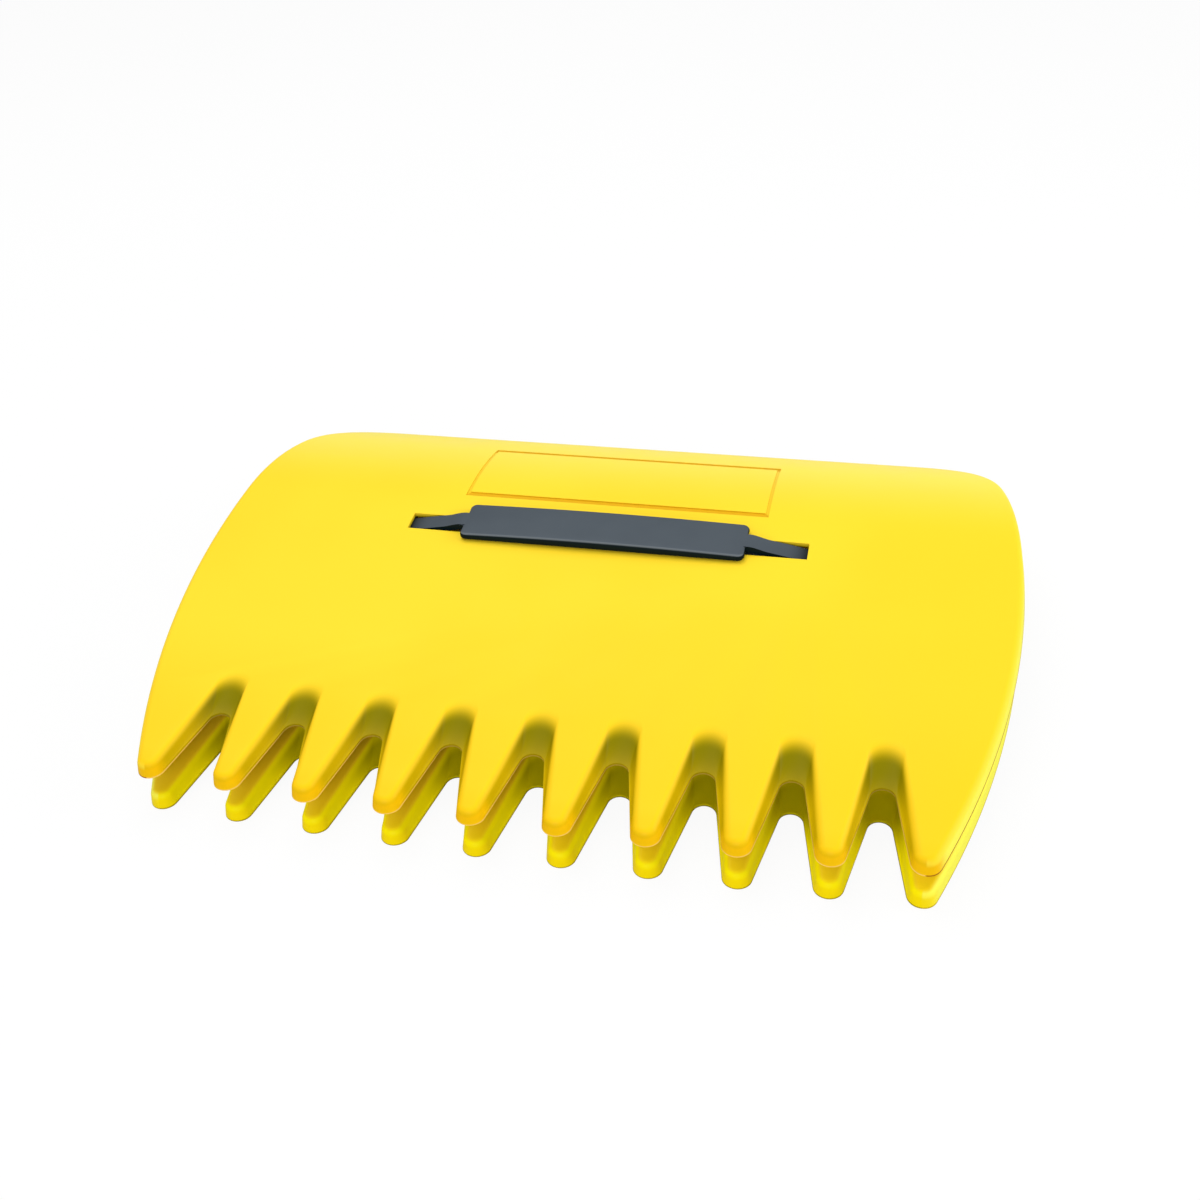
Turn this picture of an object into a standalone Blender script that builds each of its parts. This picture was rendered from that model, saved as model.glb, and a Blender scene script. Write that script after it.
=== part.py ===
"""A nested pair of leaf scoops: toothed garden hand rakes, each a moulded sheet with a strap handle.

Sizes are in millimetres and angles in degrees. The sheet is drawn flat, as x across, s back from
the tooth tips and h up from its top face, and is then formed: flat as far as the slot, then round
an arc down to the back rim. The pair stands on the lower scoop's tooth tips and back rim.
"""
from math import acos, asin, atan2, ceil, cos, hypot, radians, sin, sqrt

import bmesh
import bpy
from mathutils import Matrix, Vector

MM = 0.001
CLEARANCE = 0.3

# Moulded sheet, from the tooth tips back to the rim
WALL = 2.0
SKIRT_DEPTH = 7.3
SKIRT_DRAFT_RUN = 1.5
EDGE_ROUND = 2.6
SIDE_BULGE = 35.2
WIDEST_AT = 166.0
CORNER_RADIUS = 66.0
BACK_MARGIN = 48.4
FLAT_MARGIN = 6.0
ROLL_RADIUS = 166.0
FOOT_LAND = 0.5

# Teeth and the valleys between them
TOOTH_COUNT = 10
TOOTH_PITCH = 34.5
TIP_RADIUS = 6.0
TOOTH_LENGTH = 39.2
TOOTH_ROW_RADIUS = 3300.0
ROOT_RADIUS = 5.0
ROOT_RIM = 1.4
ROOT_LAND = 0.7
RAMP_LENGTH = 22.0
CREST_RADIUS = 7.2

# Strap: a wide grip, two necks and the T-shaped anchors under the sheet
GRIP_LENGTH = 137.0
GRIP_WIDTH = 24.0
GRIP_END_THICKNESS = 3.4
GRIP_CROWN = 1.2
GRIP_CORNER = 3.0
GRIP_EDGE = 0.8
NECK_REACH = 27.4
NECK_WIDTH = 9.0
NECK_THICKNESS = 2.5
NECK_SIDE_GAP = 1.3
ANCHOR_LAP = 4.2
ANCHOR_LENGTH = 9.0
KNUCKLE_SETBACK = 0.8

# Slot for the strap, and the frame engraved for a label behind it
SLOT_AT = 172.0
FRAME_GAP = 18.2
FRAME_WIDTH = 149.5
FRAME_LENGTH = 53.9
FRAME_GROOVE = 1.3
FRAME_GROOVE_DEPTH = 0.5

# How the pair is put together: the lower strap stands bowed up and carries the upper sheet
STRAP_BOW = 12.1

# Mesh fineness
TIP_STEPS = 8
ROOT_STEPS = 8
SIDE_STEPS = 14
CORNER_STEPS = 8
RAMP_STEPS = 6
ROLL_STEP = 10.0
GRIP_STEPS = 10
GRIP_CORNER_STEPS = 3
HINGE_STEPS = 6
KNUCKLE_SIDES = 24
CUT_REACH = 20.0
SHARP_ANGLE = 35.0

# Places that follow from the sizes above
HALF_TOOTH_ROW = (TOOTH_COUNT - 1) / 2 * TOOTH_PITCH
HALF_WIDTH = HALF_TOOTH_ROW + SIDE_BULGE
SLOT_LENGTH = GRIP_LENGTH + 2 * NECK_REACH
SLOT_WIDTH = NECK_WIDTH + 2 * NECK_SIDE_GAP
ANCHOR_WIDTH = SLOT_WIDTH + 2 * ANCHOR_LAP
ROLL_START = SLOT_AT + GRIP_WIDTH / 2 + FLAT_MARGIN
FRAME_AT = SLOT_AT + SLOT_WIDTH / 2 + FRAME_GAP + FRAME_LENGTH / 2
SHEET_LENGTH = FRAME_AT + FRAME_LENGTH / 2 + BACK_MARGIN
GRIP_THICKNESS = GRIP_END_THICKNESS + GRIP_CROWN
NEST_OFFSET = WALL + STRAP_BOW + GRIP_THICKNESS + 2 * CLEARANCE
HINGE_X = GRIP_LENGTH / 2
ANCHOR_HINGE_X = SLOT_LENGTH / 2
GRIP_REST = CLEARANCE + GRIP_END_THICKNESS / 2
ANCHOR_HEIGHT = -WALL - CLEARANCE - NECK_THICKNESS / 2
NECK_LENGTH = hypot(ANCHOR_HINGE_X - HINGE_X, GRIP_REST - ANCHOR_HEIGHT)

YELLOW = (0.91, 0.70, 0.03, 1.0)
SLATE = (0.045, 0.055, 0.065, 1.0)


def clear_scene():
    """Remove the startup objects and anything left from an earlier run."""
    for old in list(bpy.data.objects):
        bpy.data.objects.remove(old, do_unlink=True)


def new_collection(name):
    """Add a collection to the scene."""
    group = bpy.data.collections.new(name)
    bpy.context.scene.collection.children.link(group)
    return group


def plastic(name, colour, roughness):
    """A moulded plastic of one colour."""
    material = bpy.data.materials.new(name)
    material.use_nodes = True
    shader = material.node_tree.nodes["Principled BSDF"]
    shader.inputs["Base Color"].default_value = colour
    shader.inputs["Roughness"].default_value = roughness
    shader.inputs["Metallic"].default_value = 0.0
    return material


# Flat outline of the sheet

def tooth_row(x):
    """How far the tooth row has curved back at a distance from the middle."""
    return x * x / (2 * TOOTH_ROW_RADIUS)


def tip_centre(index):
    x = (index - (TOOTH_COUNT - 1) / 2) * TOOTH_PITCH
    return x, tooth_row(x) - SKIRT_DRAFT_RUN + TIP_RADIUS


def root_edge(index):
    """Middle of the round root between two teeth, a tooth's length behind the tips."""
    x = (index - (TOOTH_COUNT - 2) / 2) * TOOTH_PITCH
    return x, tooth_row(x) - SKIRT_DRAFT_RUN + TOOTH_LENGTH


def flank_lean(tip, tip_radius, valley, valley_radius):
    """Angle off the s axis of the line that touches a tip's circle and a valley's from opposite sides."""
    across = abs(valley[0] - tip[0])
    back = valley[1] - tip[1]
    return acos((tip_radius + valley_radius) / hypot(across, back)) - atan2(back, across)


def side_form():
    """The right side's arc, which runs off the last tooth's tip, and the rounded corner behind it."""
    tip = tip_centre(TOOTH_COUNT - 1)
    edge = HALF_WIDTH + SKIRT_DRAFT_RUN
    inward = edge - tip[0]
    ahead = WIDEST_AT - tip[1]
    radius = (inward ** 2 + ahead ** 2 - TIP_RADIUS ** 2) / (2 * (inward - TIP_RADIUS))
    side = (edge - radius, WIDEST_AT)
    leave = atan2(tip[1] - side[1], tip[0] - side[0])
    corner_s = SHEET_LENGTH + SKIRT_DRAFT_RUN - CORNER_RADIUS
    corner_x = side[0] + sqrt((radius - CORNER_RADIUS) ** 2 - (corner_s - side[1]) ** 2)
    turn = atan2(corner_s - side[1], corner_x - side[0])
    return side, radius, leave, (corner_x, corner_s), turn


def arc(centre, radius, start, end, steps):
    """Points along an arc."""
    angles = [start + (end - start) * i / steps for i in range(steps + 1)]
    return [(centre[0] + radius * cos(a), centre[1] + radius * sin(a)) for a in angles]


def mirrored(points):
    """The same run of points on the other side, in travelling order."""
    return [(-x, s) for x, s in reversed(points)]


def sheet_outline(inset, radius, back):
    """The sheet's outline at one level, anticlockwise from the first tooth.

    The inset draws in its sides and tips. Each valley ends in a round of this radius, this far behind
    its root edge.
    """
    tip_radius = TIP_RADIUS - inset
    side, side_radius, leave, corner, turn = side_form()
    rear = arc(side, side_radius - inset, leave, turn, SIDE_STEPS)[1:]
    rear += arc(corner, CORNER_RADIUS - inset, turn, radians(90), CORNER_STEPS)[1:]
    points = []
    before = 0.0
    for index in range(TOOTH_COUNT - 1):
        here = tip_centre(index)
        x, s = root_edge(index)
        valley = (x, s + back - radius)
        left = flank_lean(here, tip_radius, valley, radius)
        right = flank_lean(tip_centre(index + 1), tip_radius, valley, radius)
        start = radians(180) - leave if index == 0 else radians(180) + before
        points += arc(here, tip_radius, start, radians(360) - left, TIP_STEPS)
        points += arc(valley, radius, radians(180) - left, right, ROOT_STEPS)
        before = right
    last = tip_centre(TOOTH_COUNT - 1)
    points += arc(last, tip_radius, radians(180) + before, radians(360) + leave, TIP_STEPS)
    return points + rear + mirrored(rear)


# Flat solids

def draft(depth):
    """How far the skirt's plain wall leans in at a depth below the top face."""
    return SKIRT_DRAFT_RUN * (1 - depth / SKIRT_DEPTH)


def shoulder(depth):
    """How far the skirt leans in with its rounded shoulder."""
    edge = min(EDGE_ROUND, TIP_RADIUS - SKIRT_DRAFT_RUN - CLEARANCE)
    if depth >= edge:
        return draft(depth)
    return draft(depth) + edge - sqrt(edge ** 2 - (edge - depth) ** 2)


def ramp_share(depth):
    """How far along its ramp a valley's end has risen to this depth; the ramp is a smooth S."""
    rise = max(0.0, 1 - depth / (SKIRT_DEPTH - ROOT_RIM))
    return 0.5 - sin(asin(1 - 2 * rise) / 3)


def valley_radius(depth):
    return ROOT_RADIUS + (CREST_RADIUS - ROOT_RADIUS) * ramp_share(depth)


def ring(work, inset, radius, back, depth):
    """One loop of vertices round the sheet at a depth below its top face."""
    outline = sheet_outline(inset, radius, back)
    return [work.verts.new((x * MM, s * MM, -depth * MM)) for x, s in outline]


def skin(work, lower, upper):
    """Faces between two loops of as many vertices."""
    count = len(lower)
    for i in range(count):
        j = (i + 1) % count
        work.faces.new((lower[i], lower[j], upper[j], upper[i]))


def sheet_shell():
    """The sheet, flat: an upturned tray with a drafted skirt, each valley's end ramped up in an S."""
    work = bmesh.new()
    wall_across = WALL * hypot(SKIRT_DEPTH, SKIRT_DRAFT_RUN) / SKIRT_DEPTH
    outer = [ring(work, 0.0, ROOT_RADIUS, 0.0, SKIRT_DEPTH)]
    inner = [ring(work, wall_across, ROOT_RADIUS + WALL, ROOT_LAND, SKIRT_DEPTH)]
    for i in range(RAMP_STEPS + 1):
        share = i / RAMP_STEPS
        rise = share * share * (3 - 2 * share)
        depth = (SKIRT_DEPTH - ROOT_RIM) * (1 - rise)
        back = RAMP_LENGTH * share
        outer.append(ring(work, shoulder(depth), valley_radius(depth), back, depth))
        if i:
            below = depth + ROOT_RIM + (WALL - ROOT_RIM) * share
            inner.append(ring(work, draft(below) + wall_across, valley_radius(below) + WALL, back, below))
    for lower, upper in list(zip(outer, outer[1:])) + [(inner[0], outer[0])] + list(zip(inner[1:], inner)):
        skin(work, lower, upper)
    work.faces.new(outer[-1])
    work.faces.new(list(reversed(inner[-1])))
    return finished(work, "flat_sheet")


def finished(work, name):
    """Turn a bmesh into a mesh with its faces pointing out."""
    bmesh.ops.recalc_face_normals(work, faces=work.faces)
    mesh = bpy.data.meshes.new(name)
    work.to_mesh(mesh)
    work.free()
    return mesh


def prism(points, low, high):
    """A solid between two heights on a flat outline."""
    work = bmesh.new()
    base = work.faces.new([work.verts.new((x * MM, s * MM, low * MM)) for x, s in points])
    raised = bmesh.ops.extrude_face_region(work, geom=[base])
    lifted = [item for item in raised["geom"] if isinstance(item, bmesh.types.BMVert)]
    bmesh.ops.translate(work, verts=lifted, vec=(0, 0, (high - low) * MM))
    return finished(work, "prism")


def box_prism(length, width, centre_s, low, high):
    """A box across the sheet."""
    half = length / 2
    near = centre_s - width / 2
    far = centre_s + width / 2
    return prism([(-half, near), (half, near), (half, far), (-half, far)], low, high)


def stand_in(mesh, collection):
    """A temporary object that holds a mesh for a Boolean."""
    thing = bpy.data.objects.new(mesh.name, mesh)
    collection.objects.link(thing)
    return thing


def boolean(mesh, other, operation, workshop):
    """The mesh cut by, or joined to, another one."""
    body = stand_in(mesh, workshop)
    tool = stand_in(other, workshop)
    tool.display_type = "WIRE"
    tool.hide_render = True
    change = body.modifiers.new(operation.lower(), "BOOLEAN")
    change.operation = operation
    change.solver = "EXACT"
    change.object = tool
    bpy.context.view_layer.update()
    evaluated = body.evaluated_get(bpy.context.evaluated_depsgraph_get())
    result = bpy.data.meshes.new_from_object(evaluated)
    for used in (body, tool):
        bpy.data.objects.remove(used, do_unlink=True)
    return result


# Forming

def roll_angle(s):
    return max(0.0, s - ROLL_START) / ROLL_RADIUS


def formed(x, s, h):
    """Where a point of the flat sheet comes to lie; the flat part stays level here."""
    turn = roll_angle(s)
    y = min(s, ROLL_START) + (ROLL_RADIUS + h) * sin(turn)
    z = h - (ROLL_RADIUS + h) * (1 - cos(turn))
    return Vector((x, y, z))


def stance():
    """Tilt of the flat part when the scoop stands on its tooth tips and back rim, and its height there."""
    tip = formed(0, -SKIRT_DRAFT_RUN, -SKIRT_DEPTH)
    rim = formed(0, SHEET_LENGTH + SKIRT_DRAFT_RUN, -SKIRT_DEPTH)
    tilt = atan2(tip.z - rim.z, rim.y - tip.y)
    drop = tip.y * sin(tilt) + tip.z * cos(tilt)
    return tilt, -drop - FOOT_LAND


def formed_mesh(mesh):
    """Score the flat mesh across where it rolls, then lay every vertex on the formed sheet."""
    work = bmesh.new()
    work.from_mesh(mesh)
    steps = ceil((SHEET_LENGTH - ROLL_START) / ROLL_STEP)
    for i in range(steps + 1):
        s = ROLL_START + (SHEET_LENGTH - ROLL_START) * i / steps
        everything = work.verts[:] + work.edges[:] + work.faces[:]
        bmesh.ops.bisect_plane(work, geom=everything, dist=1e-7, plane_co=(0, s * MM, 0), plane_no=(0, 1, 0))
    bmesh.ops.triangulate(work, faces=work.faces[:])
    for vertex in work.verts:
        x, s, h = (value / MM for value in vertex.co)
        vertex.co = formed(x, s, h) * MM
    return finished(work, "formed_sheet")


def trimmed_to_stand(mesh, workshop):
    """Tip the sheet to its stance and trim flat lands where it meets the ground."""
    tilt, rise = stance()
    mesh.transform(Matrix.Translation((0, 0, rise * MM)) @ Matrix.Rotation(tilt, 4, "X"))
    ground = box_prism(4 * HALF_WIDTH, 4 * SHEET_LENGTH, 0, -SHEET_LENGTH, 0)
    return boolean(mesh, ground, "DIFFERENCE", workshop)


def scoop_mesh(workshop):
    """One scoop's sheet, formed and standing."""
    mesh = sheet_shell()
    slot = box_prism(SLOT_LENGTH, SLOT_WIDTH, SLOT_AT, -CUT_REACH, CUT_REACH)
    mesh = boolean(mesh, slot, "DIFFERENCE", workshop)
    groove = box_prism(FRAME_WIDTH, FRAME_LENGTH, FRAME_AT, -FRAME_GROOVE_DEPTH, CUT_REACH)
    inside = (FRAME_WIDTH - 2 * FRAME_GROOVE, FRAME_LENGTH - 2 * FRAME_GROOVE)
    plate = box_prism(*inside, FRAME_AT, -CUT_REACH, 2 * CUT_REACH)
    groove = boolean(groove, plate, "DIFFERENCE", workshop)
    mesh = boolean(mesh, groove, "DIFFERENCE", workshop)
    mesh = trimmed_to_stand(formed_mesh(mesh), workshop)
    mesh.name = "scoop_sheet"
    return mesh


# Strap

def neck_angle(lift):
    """How far a neck dips below level when the grip stands this far above its lowest place."""
    return asin((GRIP_REST - ANCHOR_HEIGHT + lift) / NECK_LENGTH)


def crown_rise(x):
    """How much the grip's arched top rises above its ends, at a distance from its middle."""
    radius = (HINGE_X ** 2 + GRIP_CROWN ** 2) / (2 * GRIP_CROWN)
    return sqrt(radius ** 2 - x ** 2) - (radius - GRIP_CROWN)


def grip_mesh(workshop):
    """The wide middle of the strap: flat below, arched above, its origin midway between the hinges."""
    reach = HINGE_X - KNUCKLE_SETBACK
    half = GRIP_WIDTH / 2
    outline = []
    for sx, ss, start in ((1, -1, -90), (1, 1, 0), (-1, 1, 90), (-1, -1, 180)):
        centre = (sx * (reach - GRIP_CORNER), ss * (half - GRIP_CORNER))
        outline += arc(centre, GRIP_CORNER, radians(start), radians(start + 90), GRIP_CORNER_STEPS)
    below = -GRIP_END_THICKNESS / 2
    flat = prism(outline, below, -below)
    work = bmesh.new()
    work.from_mesh(flat)
    rims = [e for e in work.edges if abs(e.verts[0].co.z - e.verts[1].co.z) < 1e-6]
    bmesh.ops.bevel(work, geom=rims, offset=GRIP_EDGE * MM, segments=2, profile=0.5, affect="EDGES")
    mesh = finished(work, "grip_blank")
    for side in (-1, 1):
        seat = knuckle(side, NECK_THICKNESS / 2 + CLEARANCE, NECK_WIDTH + 2 * CLEARANCE)
        mesh = boolean(mesh, seat, "DIFFERENCE", workshop)
    work = bmesh.new()
    work.from_mesh(mesh)
    for i in range(1, GRIP_STEPS):
        x = -reach + 2 * reach * i / GRIP_STEPS
        everything = work.verts[:] + work.edges[:] + work.faces[:]
        bmesh.ops.bisect_plane(work, geom=everything, dist=1e-7, plane_co=(x * MM, 0, 0), plane_no=(1, 0, 0))
    bmesh.ops.triangulate(work, faces=work.faces[:])
    for vertex in work.verts:
        share = (vertex.co.z / MM - below) / GRIP_END_THICKNESS
        vertex.co.z += share * crown_rise(vertex.co.x / MM) * MM
    return finished(work, "strap_grip")


def knuckle(side, radius, width):
    """A short cylinder on one of the grip's hinge lines, the room for a neck's rounded end."""
    work = bmesh.new()
    place = Matrix.Translation((side * HINGE_X * MM, 0, 0)) @ Matrix.Rotation(radians(90), 4, "X")
    bmesh.ops.create_cone(work, cap_ends=True, segments=KNUCKLE_SIDES, radius1=radius * MM,
                          radius2=radius * MM, depth=width * MM, matrix=place)
    return finished(work, "knuckle")


def strap_end_mesh(side):
    """Side slabs of a neck, level from its hinge line at the origin, and of the anchor it bends into."""
    half = NECK_THICKNESS / 2
    bend = neck_angle(0.0)
    hinge_end = arc((0.0, 0.0), half, radians(90), radians(270), HINGE_STEPS)
    turn_in = half * sin(bend) / (1 + cos(bend))
    knee = Vector((NECK_LENGTH, 0.0))
    along = Vector((cos(bend), sin(bend)))
    up = Vector((-sin(bend), cos(bend))) * half
    tip = knee + along * ANCHOR_LENGTH
    neck = hinge_end + [(NECK_LENGTH + turn_in, -half), tip - up, tip + up, (NECK_LENGTH - turn_in, half)]
    anchor = [knee - up, tip - up, tip + up, knee + up]
    return slab(neck, NECK_WIDTH, side), slab(anchor, ANCHOR_WIDTH, side)


def slab(profile, width, side):
    """A side profile in x and z, given a width along s."""
    work = bmesh.new()
    near = [work.verts.new((side * x * MM, -width / 2 * MM, z * MM)) for x, z in profile]
    base = work.faces.new(near)
    raised = bmesh.ops.extrude_face_region(work, geom=[base])
    moved = [item for item in raised["geom"] if isinstance(item, bmesh.types.BMVert)]
    bmesh.ops.translate(work, verts=moved, vec=(0, width * MM, 0))
    return finished(work, "slab")


# Assembly

def add_part(name, mesh, material, collection, parent, location, rotation=(0, 0, 0)):
    """Place a finished mesh as one named part of the object."""
    part = bpy.data.objects.new(name, mesh)
    collection.objects.link(part)
    if material.name not in [m.name for m in mesh.materials if m]:
        mesh.materials.clear()
        mesh.materials.append(material)
    part.parent = parent
    part.location = [value * MM for value in location]
    part.rotation_euler = rotation
    mesh.shade_smooth()
    mesh.set_sharp_from_angle(angle=radians(SHARP_ANGLE))
    return part


def add_scoop(prefix, lift, sheet, grip, ends, materials, collection, origin, location):
    """A scoop with its strap, the grip standing lift above its lowest place."""
    yellow, slate = materials
    tilt, rise = stance()
    scoop = add_part(prefix + "_scoop", sheet, yellow, collection, origin, location)
    on_sheet = Matrix.Translation((0, 0, rise)) @ Matrix.Rotation(tilt, 4, "X")
    middle = on_sheet @ Vector((0, SLOT_AT, GRIP_REST + lift))
    handle = add_part(prefix + "_grip", grip, slate, collection, scoop, middle, (tilt, 0, 0))
    for side, word in ((-1, "left"), (1, "right")):
        add_part(prefix + "_strap_" + word, ends[side], slate, collection, handle,
                 (side * HINGE_X, 0, 0), (0, side * neck_angle(lift), 0))
    return scoop


def main():
    clear_scene()
    parts = new_collection("leaf_scoops")
    workshop = new_collection("cutters")
    yellow = plastic("yellow_plastic", YELLOW, 0.38)
    slate = plastic("slate_plastic", SLATE, 0.45)
    sheet = scoop_mesh(workshop)
    grip = grip_mesh(workshop)
    ends = {}
    for side in (-1, 1):
        neck, anchor = strap_end_mesh(side)
        ends[side] = boolean(neck, anchor, "UNION", workshop)
    origin = bpy.data.objects.new("leaf_scoops_origin", None)
    parts.objects.link(origin)
    tilt = stance()[0]
    nest = Vector((0, -sin(tilt), cos(tilt))) * NEST_OFFSET
    materials = (yellow, slate)
    add_scoop("lower", STRAP_BOW, sheet, grip, ends, materials, parts, origin, (0, 0, 0))
    add_scoop("upper", 0.0, sheet, grip, ends, materials, parts, origin, nest)
    bpy.context.view_layer.update()
    corners = [o.matrix_world @ Vector(c) for o in parts.objects if o.type == "MESH" for c in o.bound_box]
    middle = (min(c.y for c in corners) + max(c.y for c in corners)) / 2
    origin.location = (0, -middle, 0)


main()
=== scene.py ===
"""A nested pair of leaf scoops in a white studio: yellow moulded sheets with slate strap handles.

Sizes are in millimetres. A piece is modelled flat or level first, as x across, y back from the
tooth tips and z up from the sheet's top face, and is then formed and laid in its real place.
"""
from math import acos, asin, atan2, ceil, cos, hypot, pi, radians, sin, sqrt, tan

import bpy
from mathutils import Euler, Matrix, Vector


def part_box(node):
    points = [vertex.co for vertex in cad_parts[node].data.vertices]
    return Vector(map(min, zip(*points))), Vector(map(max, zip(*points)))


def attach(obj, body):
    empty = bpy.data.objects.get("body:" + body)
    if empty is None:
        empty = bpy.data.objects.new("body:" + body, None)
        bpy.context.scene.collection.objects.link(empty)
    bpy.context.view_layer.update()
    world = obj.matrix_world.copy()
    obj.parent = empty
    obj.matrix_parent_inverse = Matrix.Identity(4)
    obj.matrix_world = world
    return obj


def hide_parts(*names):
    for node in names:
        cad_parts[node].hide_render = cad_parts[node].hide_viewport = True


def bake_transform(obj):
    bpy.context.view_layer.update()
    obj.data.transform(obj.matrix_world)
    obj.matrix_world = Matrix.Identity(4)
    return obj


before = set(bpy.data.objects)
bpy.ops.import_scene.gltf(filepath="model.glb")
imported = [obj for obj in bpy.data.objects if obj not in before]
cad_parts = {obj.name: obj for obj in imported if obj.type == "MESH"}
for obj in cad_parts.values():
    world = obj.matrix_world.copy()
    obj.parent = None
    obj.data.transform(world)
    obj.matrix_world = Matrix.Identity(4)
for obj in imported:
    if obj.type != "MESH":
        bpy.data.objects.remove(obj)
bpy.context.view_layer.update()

# The sheets
# Each scoop is one injection moulding in glossy yellow plastic: a thin sheet with ten teeth and a
# drafted skirt along every edge. The gap between two teeth ends in a smooth ramp, like a scooped trough.
MM = 0.001
MERGE = 1e-6
CLEARANCE = 0.3
WALL = 2.0
SKIRT_DEPTH = 7.3
SKIRT_DRAFT_RUN = 1.5
EDGE_ROUND = 2.6
TOOTH_COUNT = 10
TOOTH_PITCH = 34.5
TIP_RADIUS = 6.0
TOOTH_LENGTH = 39.2
TOOTH_ROW_RADIUS = 3300.0
ROOT_RADIUS = 5.0
ROOT_RIM = 1.4
ROOT_LAND = 0.7
RAMP_LENGTH = 22.0
CREST_RADIUS = 7.2
RAMP_STEPS = 18
HALF_WIDTH = 190.45
WIDEST_AT = 166.0
SHEET_LENGTH = 298.3
CORNER_RADIUS = 66.0
ROLL_START = 190.0
ROLL_RADIUS = 166.0
ROLL_STEP = 3.0
FOOT_LAND = 0.5
TIP_STEPS = 20
ROOT_STEPS = 20
SIDE_STEPS = 76
CORNER_STEPS = 28


def tip_centre(index):
    x = (index - (TOOTH_COUNT - 1) / 2) * TOOTH_PITCH
    return x, x * x / (2 * TOOTH_ROW_RADIUS) - SKIRT_DRAFT_RUN + TIP_RADIUS


def root_edge(index):
    """Middle of the round root between two teeth."""
    x = (index - (TOOTH_COUNT - 2) / 2) * TOOTH_PITCH
    return x, x * x / (2 * TOOTH_ROW_RADIUS) - SKIRT_DRAFT_RUN + TOOTH_LENGTH


def flank_lean(tip, tip_radius, valley, valley_radius):
    """Angle off the y axis of the flank between a tooth's round tip and a valley's round end."""
    across = abs(valley[0] - tip[0])
    back = valley[1] - tip[1]
    return acos((tip_radius + valley_radius) / hypot(across, back)) - atan2(back, across)


def arc(centre, radius, start, end, steps):
    angles = [start + (end - start) * i / steps for i in range(steps + 1)]
    return [(centre[0] + radius * cos(a), centre[1] + radius * sin(a)) for a in angles]


def across_middle(points):
    return [(-x, y) for x, y in reversed(points)]


def edge_line(inset, radius, back):
    """The sheet's outline at one level, anticlockwise from the left tooth.

    The inset draws in its sides and tips. Each valley ends in a round of this radius, this far behind
    its root edge.
    """
    tip_radius = TIP_RADIUS - inset
    last = tip_centre(TOOTH_COUNT - 1)
    edge = HALF_WIDTH + SKIRT_DRAFT_RUN
    inward = edge - last[0]
    ahead = WIDEST_AT - last[1]
    side_radius = (inward ** 2 + ahead ** 2 - TIP_RADIUS ** 2) / (2 * (inward - TIP_RADIUS))
    side = (edge - side_radius, WIDEST_AT)
    leave = atan2(last[1] - side[1], last[0] - side[0])
    corner_y = SHEET_LENGTH + SKIRT_DRAFT_RUN - CORNER_RADIUS
    corner_x = side[0] + sqrt((side_radius - CORNER_RADIUS) ** 2 - (corner_y - side[1]) ** 2)
    turn = atan2(corner_y - side[1], corner_x - side[0])
    rear = arc(side, side_radius - inset, leave, turn, SIDE_STEPS)[1:]
    rear += arc((corner_x, corner_y), CORNER_RADIUS - inset, turn, pi / 2, CORNER_STEPS)[1:]
    points = []
    before = 0.0
    for index in range(TOOTH_COUNT - 1):
        here = tip_centre(index)
        x, y = root_edge(index)
        valley = (x, y + back - radius)
        left = flank_lean(here, tip_radius, valley, radius)
        right = flank_lean(tip_centre(index + 1), tip_radius, valley, radius)
        start = pi - leave if index == 0 else pi + before
        points += arc(here, tip_radius, start, 2 * pi - left, TIP_STEPS)
        points += arc(valley, radius, pi - left, right, ROOT_STEPS)
        before = right
    points += arc(last, tip_radius, pi + before, 2 * pi + leave, TIP_STEPS)
    return points + rear + across_middle(rear)


def draft(depth):
    """How far the skirt's plain wall leans in at a depth below the top face."""
    return SKIRT_DRAFT_RUN * (1 - depth / SKIRT_DEPTH)


def shoulder(depth):
    """How far the skirt leans in with its rounded shoulder."""
    if depth >= EDGE_ROUND:
        return draft(depth)
    return draft(depth) + EDGE_ROUND - sqrt(EDGE_ROUND ** 2 - (EDGE_ROUND - depth) ** 2)


def valley_radius(depth):
    """Radius that closes a valley at a depth: it widens as the valley's end ramps up in a smooth S."""
    rise = max(0.0, 1 - depth / (SKIRT_DEPTH - ROOT_RIM))
    share = 0.5 - sin(asin(1 - 2 * rise) / 3)
    return ROOT_RADIUS + (CREST_RADIUS - ROOT_RADIUS) * share


def levels():
    """The moulding's levels, from the top face down the outside, then up inside: how far each draws in,
    the radius of its valleys, how far back they reach, and its depth."""
    wall_across = WALL * hypot(SKIRT_DEPTH, SKIRT_DRAFT_RUN) / SKIRT_DEPTH
    outer = [(0.0, ROOT_RADIUS, 0.0, SKIRT_DEPTH)]
    inner = [(wall_across, ROOT_RADIUS + WALL, ROOT_LAND, SKIRT_DEPTH)]
    for i in range(RAMP_STEPS + 1):
        share = i / RAMP_STEPS
        rise = share * share * (3 - 2 * share)
        depth = (SKIRT_DEPTH - ROOT_RIM) * (1 - rise)
        outer.append((shoulder(depth), valley_radius(depth), RAMP_LENGTH * share, depth))
        if i:
            below = depth + ROOT_RIM + (WALL - ROOT_RIM) * share
            inset = draft(below) + wall_across
            inner.append((inset, valley_radius(below) + WALL, RAMP_LENGTH * share, below))
    return outer[::-1] + inner


def edit_mode(piece, mode="VERT"):
    """Open one piece in edit mode with nothing selected."""
    bpy.ops.object.select_all(action="DESELECT")
    bpy.context.view_layer.objects.active = piece
    piece.select_set(True)
    bpy.ops.object.mode_set(mode="EDIT")
    bpy.ops.mesh.select_mode(type=mode)
    bpy.ops.mesh.select_all(action="DESELECT")


def object_mode():
    bpy.ops.object.mode_set(mode="OBJECT")


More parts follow.
